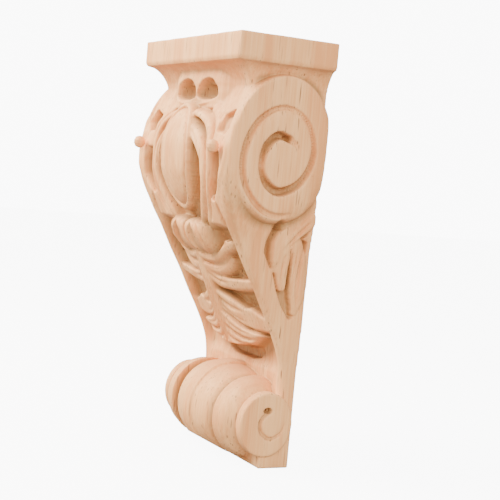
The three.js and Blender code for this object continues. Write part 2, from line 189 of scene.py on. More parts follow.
class Relief:
    """A height map of carving over a flat-laid surface."""

    def __init__(self, gu, gv, start):
        self.u, self.v, self.h = gu, gv, start

    def roll(self, points, widths, crests, foot, power):
        """A rounded bar along a line; a high power gives it a flatter top."""
        dist, t, _ = nearest(points, self.u, self.v)
        r = np.clip(dist / (spread(widths, t) / 2), 0, 1)
        top = foot + (spread(crests, t) - foot) * (1 - r ** power) ** (1 / power)
        self.h = np.where(r < 1, np.maximum(self.h, top), self.h)

    def bump(self, centre, half, crest, foot, power):
        """A cushion-like lobe."""
        q = (np.abs((self.u - centre[0]) / half[0]) ** power
             + np.abs((self.v - centre[1]) / half[1]) ** power) ** (1 / power)
        top = foot + (crest - foot) * np.sqrt(np.clip(1 - q ** 3, 0, 1))
        self.h = np.where(q < 1, np.maximum(self.h, top), self.h)

    def groove(self, points, widths, depths):
        """A gouge line cut into what is there."""
        dist, t, _ = nearest(points, self.u, self.v)
        r = np.clip(dist / (spread(widths, t) / 2), 0, 1)
        self.h = self.h - spread(depths, t) * (1 - r ** 2)

    def sink(self, outline, floor, wall=3.0):
        """A ground cut down to a floor, with steep walls."""
        gap = to_outline(outline, self.u, self.v)
        self.h = np.minimum(self.h, floor + wall * np.maximum(gap, 0))

    def raise_to(self, outline, level, wall=3.0, soft=1.0):
        """A flat-topped form with softened edges."""
        gap = to_outline(outline, self.u, self.v)
        top = level - soft * np.clip(1 + gap / soft, 0, 1) ** 2 - wall * np.maximum(gap, 0)
        self.h = np.maximum(self.h, top)

    def press(self, outline, depth, soft):
        """A shape pressed into what is there, with sloping walls."""
        self.h = self.h - depth * np.clip(-to_outline(outline, self.u, self.v) / soft, 0, 1)

    def soften(self, cells):
        """Wear the sharp carving edges a little."""
        kernel = np.exp(-0.5 * (np.arange(-3, 4) / cells) ** 2)
        kernel /= kernel.sum()
        for axis in (0, 1):
            padded = np.concatenate([
                np.repeat(self.h.take([0], axis), 3, axis), self.h,
                np.repeat(self.h.take([-1], axis), 3, axis)], axis)
            self.h = sum(k * padded.take(range(i, i + self.h.shape[axis]), axis)
                         for i, k in enumerate(kernel))


def oval_boss(relief):
    """Straight-walled oval with a rim, a groove inside the rim and a low dome."""
    q, rim = out_of(OVAL, relief.u, relief.v), OVAL["rim"]
    lift = -0.5 + 11 * (relief.v - 205) / 95
    bead = 0.9 * np.sqrt(np.clip(1 - ((q - 0.945) / 0.055) ** 2, 0, 1))
    dome = 1.0 + 3.4 * np.sqrt(np.clip(1 - (q / 0.87) ** 2, 0, 1)) ** 1.4
    top = lift + np.where(q > rim, bead, dome)
    top = top - 2.4 * np.exp(-((q - rim) / 0.02) ** 2)
    relief.h = np.where(q < 1, np.maximum(relief.h, top), relief.h)


def front_relief(x, z):
    """Carving of the front, as height over the bands' front line."""
    crest, inner, field = along(BAND_CREST)(z), along(BAND_INNER)(z), along(FIELD_LEVEL)(z)
    rise = np.clip((x - inner) / (crest - inner), 0, 1)
    relief = Relief(x, z, field + (0 - field) * np.sin(rise * np.pi / 2) ** 1.5)

    # grounds beside the oval, the husk and the leaf, cut deep
    relief.sink([(24, 266), (34, 265), (44, 256), (45, 240), (40, 222), (29, 205), (20, 205)],
                DEEP_GROUND)
    relief.sink([(40, 201), (63, 201), (66, 191), (58, 184), (44, 185), (38, 190)], DEEP_GROUND)
    relief.sink([(44, 180), (64, 183), (69.5, 181), (70.5, 158), (56, 157), (42, 166)], DEEP_GROUND)
    relief.sink([(34, 141), (70, 146), (71, 128), (58, 126), (40, 130)], -11)

    # face of the C-scroll beside the oval, and the shelf under the cove
    relief.raise_to([(60, 300), (99, 300), (99, 205), (74, 205), (66, 222), (64, 246), (64, 268)],
                    -0.3, 2.2, 2)
    relief.raise_to([(36, 200), (66, 200), (68, 222), (60, 225), (52, 222), (44, 213)], -0.8, 2.2, 2)
    relief.raise_to([(0, 322), (99, 330), (99, 288), (60, 290), (40, 299), (12, 300), (0, 300)],
                    0.5, 2.0, 3)

    # ribs that run down beside the oval; the inner one curls over at its top
    relief.roll([(20, 292), (34, 289), (47, 283), (55, 272), (57, 258), (57.5, 243), (55, 229),
                 (48, 214), (38, 199)],
                [9, 10, 11, 10, 8, 7, 7, 8, 8], [8, 6, 4, 2, 1, 0, -0.3, -0.6, -2], -10, 3.0)
    relief.roll([(14, 284), (24, 277), (34, 271), (43, 262), (49, 250), (49.5, 238), (45, 225),
                 (37, 212), (27, 199)],
                [14, 15, 15, 13, 12, 11, 11, 10, 8], [8, 6.5, 5, 3.5, 2, 1, 0.4, 0.4, 0], -10, 3.0)
    relief.roll([(44, 296), (56, 289), (63, 279), (64, 268), (62.5, 260)], [12, 10, 8, 6, 4],
                [3, 2, 1, 0.3, -1], -8, 3.0)
    relief.groove([(26, 283), (32, 281.5), (40, 278.5), (47.5, 273), (50.5, 266), (51, 260)],
                  [2.5, 5, 6.5, 6.5, 4.5, 2], [2, 6, 9, 10, 7, 1.5])
    relief.groove([(51, 262), (54, 250), (54.3, 238), (50.5, 222), (42, 208)], [2, 2.6, 2.6, 2.4, 1.6],
                  [1.4, 2.6, 2.6, 2, 0.8])
    relief.groove([(18, 281), (31, 273), (41, 262), (45.5, 250), (45.5, 238), (41, 225)],
                  [1.5, 2, 2, 2, 2, 1.5], [0.5, 1.4, 1.4, 1.4, 1.2, 0.4])

    # hollow below the knob, the rolled stem beside it, and the slanting notch over it
    relief.roll([(70, 219), (80, 232), (87, 246), (90, 262), (86, 274)], [6, 9, 10, 10, 9],
                [-0.5, 0.7, 1.5, 1.5, 1], -6, 2.4)
    relief.sink([(62, 259), (74, 259), (78.5, 249), (76.5, 237), (70, 228), (65, 222), (61.5, 222),
                 (63, 240)], -9, 4)
    relief.sink([(66, 277), (80, 276), (84.5, 284), (82, 293), (76, 292), (66.5, 289)], -5, 4)
    relief.groove([(78, 277), (81.5, 284), (80, 292)], [6, 9, 6], [4, 8, 4])


    # line beside the outer rib, running on from the lower end of that hollow
    relief.groove([(61, 236), (59.6, 228), (55.2, 218), (49, 207), (44, 200)],
                  [3, 4.4, 3.6, 2.8, 1.6], [2, 3.4, 2.6, 1.8, 0.5])

    # crown: a swelling that dies away to the sides, with a scoop on either side of a ridge
    lift = np.interp(z, [289, 296, 302, 309.5, 317, 322, 330], [-14, 2.5, 4, 7, 9, 8.5, 6])
    fade = np.clip((64 - x) / 28, 0, 1)
    relief.h = np.maximum(relief.h, lift - 8 * (1 - fade * fade * (3 - 2 * fade)))
    scoop = np.hypot((x - 21.5) / 20.5, (z - 307.5) / np.where(z > 307.5, 14, 4))
    relief.h = relief.h - 15 * np.clip(1 - scoop ** 2, 0, 1) ** 0.5
    relief.roll([(6, 299), (22, 300.5), (38, 302), (54, 299)], [4, 5, 5, 3], [4.4, 5.4, 4.4, 0], -4, 2.4)

    oval_boss(relief)

    # husk: two lobes with a pointed arch pressed into each
    relief.bump((14.5, 187), (25, 17), 10.5, -10, 2.4)
    relief.groove([(27, 174), (28.5, 185), (25.5, 195), (16, 203)], [2, 3, 3, 2], [1, 2.4, 2.4, 1])
    relief.press([(6.5, 168), (5.8, 182), (8.5, 191), (15, 199.5), (21.5, 191), (24, 182),
                  (23.5, 168)], 4.2, 1.4)
    relief.groove([(0, 205), (0, 190), (0, 172)], [3, 3.4, 3.4], [3, 4.4, 4.4])

    # curls under the husk, on a shallow ground of their own, ending on the band
    relief.raise_to([(0, 176), (20, 174), (34, 176), (44, 182), (52, 188), (58, 187), (52, 180),
                     (44, 171), (38, 163), (34, 156), (20, 156), (0, 164)], 3.4 - 0.13 * x, 4, 2)
    relief.roll([(0, 171), (16, 169), (34, 172), (47, 179), (60, 184)], [8, 8.5, 9, 9, 9],
                [6, 4.6, 2, -1, -4], -10, 3.0)
    relief.roll([(0, 163), (14, 160), (28, 160), (40, 164), (49, 171)], [10, 10, 10, 9, 7],
                [6.6, 5.6, 3, 0, -4], -10, 3.0)
    relief.groove([(12, 170.5), (24, 170.5), (36, 174.5)], [1.2, 1.8, 1.2], [0.5, 1.2, 0.5])
    relief.groove([(12, 161.5), (26, 161), (42, 167)], [1.2, 1.8, 1.2], [0.5, 1.2, 0.5])

    # acanthus leaf: broad planes that leave the shaft and turn outwards, with a sharp lower edge each
    relief.raise_to([(0, 169), (8, 161), (20, 155), (36, 154.6), (56, 156), (82, 158.5), (82, 149.5),
                     (58, 146.5), (40, 144.8), (18, 144), (6, 148), (0, 158)], 7.4 - 0.14 * x, 6, 2.4)
    relief.groove([(2, 163), (9, 154.5), (20, 150.4), (34, 150.6)],
                  [1.8, 2.4, 2.4, 1.2], [1, 2.2, 2, 0.4])
    relief.raise_to([(2, 146), (12, 141), (28, 135.5), (42, 130.4), (50, 131.5), (62, 127.5), (80, 123),
                     (78, 113.5), (54, 111.6), (34, 111.8), (20, 118), (8, 128)], 8.6 - 0.165 * x, 6, 2.6)
    relief.groove([(2, 142.5), (9, 134.5), (22, 128.5), (38, 126.5)],
                  [2.4, 4.4, 5, 3], [1, 2.8, 2.8, 0.5])
    relief.groove([(5, 136), (14, 126), (27, 119.5), (40, 117.5)], [1.4, 2, 2, 1.2], [0.6, 1.4, 1.4, 0.4])
    relief.raise_to([(0, 138), (8, 128), (20, 118), (34, 112.5), (52, 111), (57, 108.5), (50, 104),
                     (40, 99), (30, 95.5), (15, 93), (0, 92)], 10.8 - 0.15 * x, 6, 2.4)
    relief.groove([(1.5, 137), (8, 124.6), (25, 115), (42, 111.4), (62, 110)], [2.2, 3.8, 4.2, 3.8, 2],
                  [1.4, 4, 4.4, 4, 2])
    relief.groove([(4.5, 124), (11, 114.5), (24, 109), (40, 107)],
                  [1.4, 2, 2.2, 1.4], [0.5, 1.4, 1.4, 0.5])
    relief.groove([(1, 123), (5.5, 111.5), (18, 104.5), (34, 102.5), (48, 104)], [2, 3.6, 4, 3.4, 2],
                  [1, 3.4, 3.8, 3, 1])
    relief.groove([(0.5, 111), (5.5, 102), (15, 97.8), (34, 97.2)], [1.8, 3, 3.4, 2], [1, 2.8, 3, 1])

    # shaft of the leaf, swelling out towards the tip, with long gouge lines
    relief.roll([(0, 176), (0, 165), (0, 150), (0, 132), (0, 114), (0, 100), (0, 92)],
                [8, 12, 16, 18, 16, 12, 9], [4.5, 7, 9.8, 11.4, 12, 10.6, 8], -9, 5.0)
    relief.groove([(0, 170), (0, 140), (0, 110), (0, 95)], [1.8, 2.4, 2.4, 1.8], [1, 2, 2.2, 1.2])
    relief.groove([(3.4, 164), (4.6, 142), (4.6, 118), (3.4, 97)], [1.4, 2.2, 2.4, 1.8], [0.8, 2, 2, 1.2])

    # hollow cut under the leaf's tip, and the sunk neck with its step against the band
    relief.sink([(-12, 91), (12, 92), (24, 94), (34, 97), (37, 92), (30, 86.5), (18, 84), (-12, 84)],
                DEEP_GROUND, 8)
    relief.sink([(-9, 86), (20, 87), (42, 95), (56, 106), (64, 104), (61.5, 90), (60, 80), (59.5, 60),
                 (-9, 60)], -3.2, 4)
    relief.soften(0.55)
    return relief.h


def side_shape(d, z):
    """Half width of the block over depth and height: band, volute, spiral line and panel."""
    plain = side_half(z)
    plain = plain + 2.0 * (np.clip((231 - z) / 5, 0, 1) * np.clip((z - 178) / 26, 0, 1)
                           * np.clip((34 - d) / 16, 0, 1))
    e = out_of(DISC, d, z)
    over, up = d - DISC["at"][0], z - DISC["at"][1]
    steep = np.hypot(over / DISC["half"][0] ** 2, up / DISC["half"][1] ** 2)
    gap = (e - 1) * e / np.maximum(steep, 1e-4)
    turn = np.arctan2(up, over)
    back = np.clip(-np.cos(turn), 0, 1) * np.clip(1.1 - np.sin(turn), 0, 1)
    soft = 2.6 + 16 * back + 10 * np.clip(-np.sin(turn), 0, 1) * np.clip(1 - np.cos(turn), 0, 1)
    s = np.clip(-gap / soft, 0, 1)
    disc = plain + (DISC["face"] - plain) * np.sqrt(1 - (1 - s) ** 2)
    tail = along(TAIL_FACE)(z)
    hold = np.clip((d - along(TAIL_BACK)(z)) / 5 + 0.5, 0, 1)
    hold = hold * hold * (3 - 2 * hold)
    hold = hold * np.clip((z - 176) / 10, 0, 1) * np.clip((300 - z) / 16, 0, 1)
    face = np.maximum(disc, plain + (tail - plain) * hold)
    relief = Relief(d, z, face)

    # spiral line, wide and deep in its inner turn, with the step that narrows it
    dist, t, side = nearest(SPIRAL, d, z)
    width = spread([3, 4.6, 5, 5, 5.4, 5.6, 5.6, 5.2, 4.4, 3.6, 3.4, 4, 5.6, 6.4, 7.2, 7.4, 5.2, 7.4,
                    7, 5.6], t)
    depth = spread([0.6, 3, 4, 4.5, 5.4, 6, 6, 5, 3.6, 2.6, 3.2, 4.8, 6, 7, 8.5, 8.5, 4.2, 9.5, 9.5,
                    8], t)
    r = dist / (width / 2)
    bevel = spread([0, 0, 0, 0, 0, 0, 2, 5, 8, 8, 4, 1, 0, 0, 0, 0, 0, 0, 0, 0], t) * (side > 0)
    outside = (dist > width / 2) & (bevel > 0.1)
    slope = np.clip(1 - (dist - width / 2) / np.maximum(bevel, 1e-3), 0, 1) * outside
    chatter = 1.0 * np.cos(t * 900) * (t > 0.22) * np.clip(1.35 - r, 0, 1)
    cut = depth * np.clip(1 - r ** 5, 0, 1) + 1.4 * slope * slope + chatter * (r < 1.15)
    relief.h = relief.h - np.maximum(cut, 0)
    relief.groove([(36, 275), (29, 270), (26, 262)], [7, 4, 1.5], [4, 1.6, 0.2])

    # panel: a slope filled up to the volute, a broad ribbed stem and two hanging leaves
    relief.sink(PANEL, PANEL_FLOOR, 3.5)
    relief.raise_to([(3, 217), (14, 211), (26, 208), (30, 202), (33, 197.5), (36.5, 190.5), (37, 182),
                     (36, 174), (31, 170), (24, 184), (3, 200)], 84.8, 5.0, 2.5)
    relief.roll([(2, 211), (8, 205), (15.6, 197.5), (22, 191), (27, 184), (31, 176), (31.5, 168)],
                [11, 11.5, 12, 12, 12, 10, 6], [87.4, 87.4, 87, 86.4, 85.6, 84.6, 82], PANEL_FLOOR, 5.0)
    relief.groove([(5.8, 207.3), (13.4, 199.7), (20, 191.9), (26.5, 185.1)],
                  [2.4, 3.2, 3.2, 2], [1.6, 2.8, 2.8, 1])
    relief.groove([(4, 200.5), (7.9, 197.4), (16.7, 190.7), (24.6, 184)],
                  [2.4, 3.4, 3.4, 2], [2, 4, 4, 1.4])
    relief.groove([(33.5, 203), (30, 202), (25, 204.5), (18, 207.5), (10, 211.5)], [4, 4, 3, 3, 2],
                  [6, 4, 1.4, 0.9, 0.3])
    relief.roll([(23.5, 186), (24.6, 176), (24.8, 166), (23.5, 153.5)],
                [9, 13, 13, 8], [85, 84.6, 84, 82.4], PANEL_FLOOR, 5.0)
    relief.roll([(14, 190), (11, 178), (9.5, 160), (8.8, 146), (9.5, 133)],
                [12, 15, 15.5, 14.5, 7], [85, 84.6, 84.2, 83.8, 82], PANEL_FLOOR, 5.0)
    relief.groove([(24, 180), (25.2, 170.5), (25.4, 160)], [1.8, 2.6, 1.8], [1, 2.2, 0.8])
    relief.groove([(17, 182), (18.2, 171), (18.2, 162), (18.2, 152)],
                  [2.2, 3.6, 3.8, 3], [2.5, 5, 6.5, 5])
    relief.groove([(12, 187), (13, 176), (14, 166), (15, 157), (14.6, 148), (12, 139)],
                  [1.6, 2.2, 2.2, 2, 2, 1.4], [0.6, 1.6, 1.8, 1.6, 1.4, 0.5])
    relief.groove([(7, 188), (8.1, 179.6), (9.4, 172), (10.3, 161), (10, 148), (8.4, 139)],
                  [1.8, 2.8, 3.2, 3.4, 3, 1.8], [0.8, 2.2, 2.6, 2.6, 2.4, 0.8])
    relief.soften(0.5)
    return relief.h


def rounded(a, b, radius):
    """Meeting of two half spaces with a round arris."""
    return (np.minimum(np.maximum(a + radius, b + radius), 0)
            + np.hypot(np.maximum(a + radius, 0), np.maximum(b + radius, 0)) - radius)


def joined(a, b, blend):
    """Union of two solids with a small fillet where they meet."""
    k = np.clip(0.5 + 0.5 * (b - a) / blend, 0, 1)
    return b + (a - b) * k - blend * k * (1 - k)


def barrel(x, d, z):
    """Foot scroll: collar in the middle, then shells that taper outwards, and an end disc."""
    rho = np.hypot(d - BARREL_DEPTH, z - BARREL_Z)
    collar = rounded(rho - (COLLAR_RADIUS - 0.012 * x ** 2), x - COLLAR_HALF, 1.3)
    taper = 4.0 * np.clip((x - 7) / 30, 0, 1) + 13 * np.clip((x - 26) / 18, 0, 1) ** 1.6
    first = np.maximum(rho - (FIRST_RADIUS - taper), x - FIRST_END)
    taper = 3.5 * np.clip((x - SECOND_START) / 20, 0, 1) + 13 * np.clip((x - 56) / 15, 0, 1) ** 1.5
    second = rounded(rho - (SECOND_RADIUS - taper), SECOND_START - x, 1.0)
    second = np.maximum(second, x - SECOND_END)
    edge = (out_of(BARREL_END, d, z) - 1) * BARREL_END["across"]
    disc = rounded(edge, x - BARREL_END["face"], 2.2)
    disc = rounded(disc, BARREL_END["start"] - x, 1.0)
    shape = joined(collar, first, 0.5)
    shape = joined(shape, second, 0.5)
    return joined(shape, disc, 0.5)


def barrel_end_line(d, z):
    """Spiral line and drilled eye in the barrel's end disc."""
    dist, t, _ = nearest(END_LINE, d[0], z[0])
    half = spread([0.6, 1.2, 1.5, 1.8, 2.0, 2.0, 2.0, 1.6], t)
    depth = spread([0.4, 1.4, 2.0, 2.8, 3.4, 3.4, 3.2, 3.0], t)
    line = (depth * np.clip(1 - (dist / half) ** 2, 0, 1))[None]
    eye = EYE["depth"] * np.clip(1 - out_of(EYE, d, z) ** 4, 0, 1)
    return np.maximum(line, eye)


def slab(x, d, z):
    """Slab with soft edges, and the hollow cove below it."""
    under = HEIGHT - SLAB_HEIGHT
    turn = np.clip((z - under + COVE_HEIGHT) / COVE_HEIGHT, 0, 1)
    out = 0.3 * turn + 0.7 * (1 - np.sqrt(1 - turn ** 2))
    half = NECK_HALF + out * (SLAB_HALF - 1.4 - NECK_HALF)
    depth = NECK_DEPTH + out * (SLAB_DEPTH - 1.4 - NECK_DEPTH)
    steep = np.maximum(1, 1 + 1.2 * turn ** 4)
    cove = rounded((x - half) / steep, (d - depth) / steep, 2.0)
    cove = np.maximum(np.maximum(cove, under - COVE_HEIGHT - z), z - under - 4)
    block = rounded(x - SLAB_HALF, d - SLAB_DEPTH, 1.8)
    block = rounded(rounded(block, z - HEIGHT, 1.2), under - z, 4.2)
    return joined(cove, block, 1.2)


def envelope(level, reach):
    """Highest level within a square around each place, smoothed: what the depth of a recess, and so its
    painted shade, is measured from.
    """
    for gather in (np.max, np.mean):
        for axis in (0, 1):
            ends = [level.take([end], axis).repeat(reach, axis) for end in (0, -1)]
            padded = np.concatenate([ends[0], level, ends[1]], axis)
            level = gather([padded.take(range(i, i + level.shape[axis]), axis)
                            for i in range(2 * reach + 1)], axis=0)
    return level


def carve(pitch):
    """The whole right half as a field, negative in the wood; mirrored later."""
    xs = (np.arange(-1, int(101 / pitch) + 2) + 0.5) * pitch
    ds = (np.arange(-2, int(104 / pitch) + 3)) * pitch
    zs = (np.arange(-2, int(HEIGHT / pitch) + 4)) * pitch
    x, d, z = (a.astype(np.float32) for a in np.meshgrid(xs, ds, zs, indexing="ij", sparse=True))
    gx, gz = np.meshgrid(np.abs(xs), zs, indexing="ij")
    gd, gy = np.meshgrid(ds, zs, indexing="ij")
    line = front_depth(zs)
    steep = np.hypot(1, np.gradient(line, zs)).astype(np.float32)
    raised, wide = front_relief(gx, gz), side_shape(gd, gy)
    front = (line[None] + raised).astype(np.float32)[:, None, :]
    half = wide.astype(np.float32)[None]
    base = np.where(zs > 96, 0.0, -20.0)[None]
    level = {"front": line[None] + np.maximum(envelope(raised, round(6 / pitch)), base),
             "side": envelope(wide, round(4 / pitch))}
    wave = 0.12 * (np.sin(x / 5.3 + z / 9.1) * np.sin(d / 6.7 - z / 13)
                   + np.sin(z / 7.9 + d / 11) * np.cos(x / 8.7))
    radius = corner_radius(zs).astype(np.float32)[None, None]
    block = rounded((d - front) / steep, x - half, radius)
    block = np.maximum(block, BODY_BOTTOM - z)
    disc = rounded((out_of(DISC, d, z) - 1) * DISC["across"], x - half, 2.4)
    disc = np.maximum(disc, DISC["start"] - x)
    block = joined(block, disc, 3.0)
    block = joined(block, slab(x, d, z), 1.0)
    foot = rounded(x - BASE_HALF, d - BASE_DEPTH, 1.6)
    foot = np.maximum(foot, z - BASE_HEIGHT)
    scroll = barrel(np.abs(x), d, z)
    scroll = np.maximum(scroll, x - BARREL_END["face"] + barrel_end_line(d, z))
    block = joined(block, foot, 1.0)
    block = joined(block, scroll, 1.0)
    knob_depth, up = float(front_depth(KNOB["z"])) + KNOB["proud"], z - KNOB["z"]
    knob = np.sqrt((x - KNOB["x"]) ** 2 + (d - knob_depth) ** 2 + (up / 1.1) ** 2) - KNOB["radius"]
    knob = knob + 0.25 * np.cos(up * 2.4)
    block = joined(block, knob, 1.0) + wave
    slope = math.hypot(UNDERCUT_RUN, UNDERCUT_RISE)
    under = (UNDERCUT_RISE * (d - BASE_DEPTH) - UNDERCUT_RUN * z) / slope
    for cut in (under, -z, z - HEIGHT, -d, x - SLAB_HALF, d - REACH):
        block = np.maximum(block, cut)
    return block, (xs[0], ds[0], zs[0]), level


def box_blur(field, reach):
    """Mean over a cube of cells around each cell, by running sums."""
    for axis in range(3):
        n = field.shape[axis]
        total = np.cumsum(field, axis=axis, dtype=np.float64)
        zero = np.zeros_like(total.take([0], axis))
        total = np.concatenate([zero, total], axis)
        high = np.clip(np.arange(n) + reach + 1, 0, n)
        low = np.clip(np.arange(n) - reach, 0, n)
        width = (high - low).reshape([-1 if a == axis else 1 for a in range(3)])
        field = ((total.take(high, axis) - total.take(low, axis)) / width).astype(np.float32)
    return field


def skin(field, origin, pitch):
    """Closed quad mesh where the field changes sign, one corner per crossed cell."""
    inside = field < 0
    n = [s - 1 for s in field.shape]
    corners = [(a, b, c) for a in (0, 1) for b in (0, 1) for c in (0, 1)]
    count = sum(inside[a:a + n[0], b:b + n[1], c:c + n[2]].astype(np.uint8) for a, b, c in corners)
    crossed = (count > 0) & (count < 8)
    cells = np.argwhere(crossed)
    number = np.full(crossed.shape, -1, np.int64)
    number[crossed] = np.arange(len(cells))
    total = np.zeros((len(cells), 3))
    hits = np.zeros(len(cells))
    for i, a in enumerate(corners):
        for b in corners[i + 1:]:
            if sum(p != q for p, q in zip(a, b)) != 1:
                continue
            fa = field[tuple((cells + a).T)].astype(float)
            fb = field[tuple((cells + b).T)].astype(float)
            meets = (fa < 0) != (fb < 0)
            s = np.where(meets, fa / np.where(meets, fa - fb, 1), 0)
            total += meets[:, None] * (np.array(a) + s[:, None] * (np.array(b) - np.array(a)))
            hits += meets
    points = np.array(origin) + (cells + total / hits[:, None]) * pitch
    quads = []
    for axis in range(3):
        u, v = (axis + 1) % 3, (axis + 2) % 3
        low = inside.take(range(field.shape[axis] - 1), axis)
        high = inside.take(range(1, field.shape[axis]), axis)
        edges = np.argwhere(low != high)
        keep = (edges[:, u] > 0) & (edges[:, v] > 0) & (edges[:, u] < n[u]) & (edges[:, v] < n[v])
        edges = edges[keep]
        outwards = low[tuple(edges.T)]
        du, dv = np.eye(3, dtype=int)[u], np.eye(3, dtype=int)[v]
        ring = [number[tuple((edges - o).T)] for o in (du * 0, du, du + dv, dv)]
        quad = np.stack(ring, 1)
        quads.append(np.where(outwards[:, None], quad, quad[:, ::-1]))
    return points, np.concatenate(quads)


def mesh_of(name, points, quads):
    """Blender mesh from arrays of points in metres and quads."""
    mesh = bpy.data.meshes.new(name)
    mesh.vertices.add(len(points))
    mesh.vertices.foreach_set("co", points.astype(np.float32).ravel())
    mesh.loops.add(quads.size)
    mesh.loops.foreach_set("vertex_index", quads.astype(np.int32).ravel())
    mesh.polygons.add(len(quads))
    mesh.polygons.foreach_set("loop_start", np.arange(0, quads.size, 4, dtype=np.int32))
    mesh.update(calc_edges=True)
    mesh.validate()
    return mesh


def refine(mesh, most):
    """Split the longest edges of the carved faces, so that colour follows the carving on flat
    places, and take out faces that have no area."""
    carved = bmesh.new()
    carved.from_mesh(mesh)
    for longest in (0.012, 0.007, 0.0045, 0.0032):
        long = [e for e in carved.edges if e.calc_length() > longest and len(e.link_faces) == 2
                and min(v.co.y for v in e.verts) < -0.004 and abs(e.verts[0].co.x) < 0.0975
                and e.verts[0].co.z < 0.155]
        if len(carved.faces) + 2 * len(long) > most:
            break
        bmesh.ops.subdivide_edges(carved, edges=long, cuts=1)
        bmesh.ops.triangulate(carved, faces=[f for f in carved.faces if len(f.verts) > 3])
    bmesh.ops.dissolve_degenerate(carved, dist=1e-6, edges=carved.edges)
    bmesh.ops.triangulate(carved, faces=[f for f in carved.faces if len(f.verts) > 3])
    carved.to_mesh(mesh)
    carved.free()


def triples(items, name):
    """A vector of each item, as rows of an array."""
    values = np.empty(len(items) * 3, np.float32)
    items.foreach_get(name, values)
    return values.reshape(-1, 3)


def sampled(volume, origin, pitch, points):
    """Value of a volume at points, between its cells."""
    q = (points - np.array(origin)) / pitch
    top = np.array(volume.shape) - 2
    i = np.clip(np.floor(q).astype(int), 0, top)
    f = np.clip(q - i, 0, 1)
    out = np.zeros(len(points))
    for a in (0, 1):
        for b in (0, 1):
            for c in (0, 1):
                weight = np.abs(1 - a - f[:, 0]) * np.abs(1 - b - f[:, 1]) * np.abs(1 - c - f[:, 2])
                out += weight * volume[i[:, 0] + a, i[:, 1] + b, i[:, 2] + c]
    return out


def flat_sampled(plane, origin, pitch, u, v):
    """Value of a flat map at places, between its cells."""
    volume = np.repeat(plane[:, :, None], 2, axis=2)
    return sampled(volume, (origin[0], origin[1], 0), pitch, np.stack([u, v, np.zeros(len(u))], 1))


def cut_depth(level, origin, pitch, at):
    """How far a place lies below the carving around it: on the front, the side or the foot scroll. It
    sets how much painted shade the recesses get.
    """
    x, d, z = np.abs(at[:, 0]), at[:, 1], at[:, 2]
    front = flat_sampled(level["front"], (origin[0], origin[2]), pitch, x, z) - d
    side = flat_sampled(level["side"], (origin[1], origin[2]), pitch, d, z) - x
    cut = np.minimum(np.clip((front - 1.6) / 8.5, 0, 1), np.clip((side - 0.8) / 6.5, 0, 1))
    rho = np.hypot(d - BARREL_DEPTH, z - BARREL_Z)
    rim = np.interp(x, [0, 8, 10, 30, 38, 44, 46, 60, 66, 71, 81],
                    [41, 41, 38, 36, 36, 36, 35, 33, 28, 26, 26])
    on_scroll = (z < 82) & (d > 12)
    roll = np.clip((rim - rho - 0.8) / 7, 0, 1) * (rho > 20) * (x < 71)
    end = np.clip((80.6 - x) / 4, 0, 1) * (rho < 24) * (x > 71)
    return np.where(on_scroll, np.maximum(roll, end), cut)


# How strongly each effect shows in the wood's colour; the lightening along the arrises is a painted
# highlight
STREAK_CONTRAST, PORE_DARKNESS, ARRIS_HIGHLIGHT = 5.0, 0.9, 0.22
CARVED_END_DARKNESS, SAWN_END_DARKNESS = 0.62, 0.45


def node(tree, kind, at, **values):
    """A shader node with its sockets or settings given by name."""
    n = tree.nodes.new(kind)
    n.location = at
    for key, value in values.items():
        if key in n.inputs:
            n.inputs[key].default_value = value
        else:
            setattr(n, key, value)
    return n


def math_node(tree, operation, at, a, b=None, clamp=False):
    """Result of a Math node on sockets or plain numbers."""
    n = tree.nodes.new("ShaderNodeMath")
    n.operation, n.location, n.use_clamp = operation, at, clamp
    for slot, value in zip(n.inputs, (a, b)):
        if value is None:
            continue
        if isinstance(value, (int, float)):
            slot.default_value = value
        else:
            tree.links.new(value, slot)
    return n.outputs[0]


def ramp(tree, value, at, low, high):
    """Value stretched so that low gives 0 and high gives 1."""
    n = tree.nodes.new("ShaderNodeMapRange")
    n.location = at
    n.inputs["From Min"].default_value = low
    n.inputs["From Max"].default_value = high
    tree.links.new(value, n.inputs["Value"])
    return n.outputs["Result"]


def mixed(tree, at, factor, a, b, blend="MIX"):
    """Colour b laid over colour a."""
    n = tree.nodes.new("ShaderNodeMix")
    n.data_type, n.blend_type, n.location = "RGBA", blend, at
    for slot, value in ((n.inputs["Factor"], factor), (n.inputs["A"], a), (n.inputs["B"], b)):
        if isinstance(value, bpy.types.NodeSocket):
            tree.links.new(value, slot)
        else:
            slot.default_value = value
    return n.outputs["Result"]


def stretched(tree, at, scale):
    """Object coordinates squeezed so that a texture runs along the grain."""
    place = node(tree, "ShaderNodeTexCoord", (at[0] - 360, at[1]))
    squeeze = node(tree, "ShaderNodeMapping", (at[0] - 180, at[1]))
    squeeze.inputs["Scale"].default_value = scale
    tree.links.new(place.outputs["Object"], squeeze.inputs["Vector"])
    return squeeze.outputs["Vector"]


